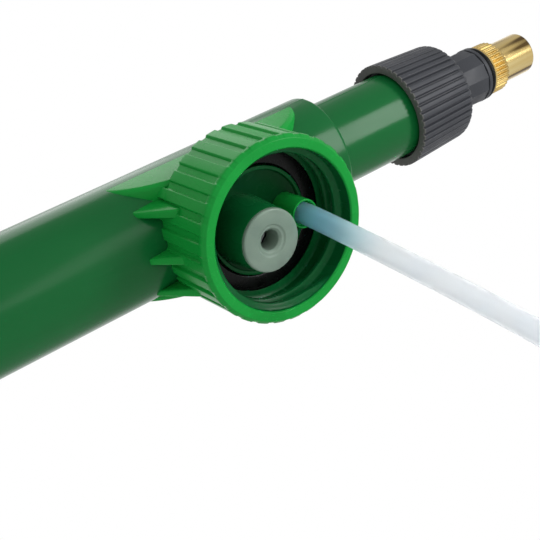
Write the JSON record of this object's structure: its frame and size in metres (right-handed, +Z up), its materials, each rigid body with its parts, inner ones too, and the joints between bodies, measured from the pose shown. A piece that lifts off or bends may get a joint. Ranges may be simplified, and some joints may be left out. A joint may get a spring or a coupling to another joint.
{
  "type": "pump_sprayer",
  "caption": "Hand pump sprayer that screws on a drink bottle: slim green barrel over a ribbed bottle cap, T handle, dip tube, union nut and adjustable brass jet.",
  "frame": {"origin": "on the cap axis, in the plane where the bottle's rim seals", "axes": "+X along the barrel to the nozzle, +Z up out of the bottle, +Y across"},
  "size_m": [0.3129, 0.084, 0.2716],
  "materials": {
    "green_plastic": "glossy moulded",
    "grey_plastic": "satin moulded",
    "black_rubber": "matte",
    "clear_plastic": "cloudy translucent",
    "tube_plastic": "cloudy translucent",
    "brass": "turned",
    "spring_steel": "bright"
  },
  "bodies": {
    "frame": {"body": "green_plastic", "neck_gasket": "black_rubber", "valve_plug": "clear_plastic", "check_valve_spring": "spring_steel", "dip_tube": "tube_plastic", "gland_nut": "grey_plastic", "rod_guide": "grey_plastic", "rod_seal": "black_rubber"},
    "poppet": {"check_valve_poppet": "black_rubber"},
    "piston": {"piston_head": "grey_plastic", "piston_cup": "black_rubber", "piston_nut": "spring_steel"},
    "plunger": {"piston_rod": "grey_plastic", "handle": "grey_plastic", "handle_pin": "spring_steel", "bump_stop": "black_rubber"},
    "jet_holder": {"nozzle_holder": "grey_plastic", "nozzle_gasket": "black_rubber", "jet_core": "brass", "stem_o_ring": "black_rubber"},
    "clamp_nut": {"union_nut": "grey_plastic"},
    "jet_ring": {"holder_o_ring": "black_rubber"},
    "jet": {"brass_nozzle": "brass"}
  },
  "joints": [
    {"name": "pump_stroke", "type": "slide", "parent": "frame", "child": "piston", "axis": [-1, 0, 0], "range_m": [0, 0.138]},
    {"name": "handle_spin", "type": "hinge", "parent": "piston", "child": "plunger", "pos_m": [-0.1, 0, 0.015], "axis": [1, 0, 0], "continuous": true},
    {"name": "air_valve", "type": "slide", "parent": "frame", "child": "poppet", "axis": [0, 0, -1], "range_m": [0, 0.0015], "stiffness_N_per_m": 60, "deforming": ["check_valve_spring"]},
    {"name": "union_travel", "type": "slide", "parent": "frame", "child": "jet_holder", "axis": [1, 0, 0], "range_m": [0, 0.009]},
    {"name": "union_turn", "type": "hinge", "parent": "jet_holder", "child": "clamp_nut", "pos_m": [0.05, 0, 0.015], "axis": [1, 0, 0], "range_deg": [0, 1620]},
    {"name": "jet_travel", "type": "slide", "parent": "jet_holder", "child": "jet_ring", "axis": [1, 0, 0], "range_m": [0, 0.003]},
    {"name": "jet_turn", "type": "hinge", "parent": "jet_ring", "child": "jet", "pos_m": [0.075, 0, 0.015], "axis": [1, 0, 0], "range_deg": [0, 1080]}
  ],
  "couplings": [
    {"joint": "union_turn", "follows": "union_travel", "rad_per_m": 3141.6},
    {"joint": "jet_turn", "follows": "jet_travel", "rad_per_m": 6283.2}
  ]
}
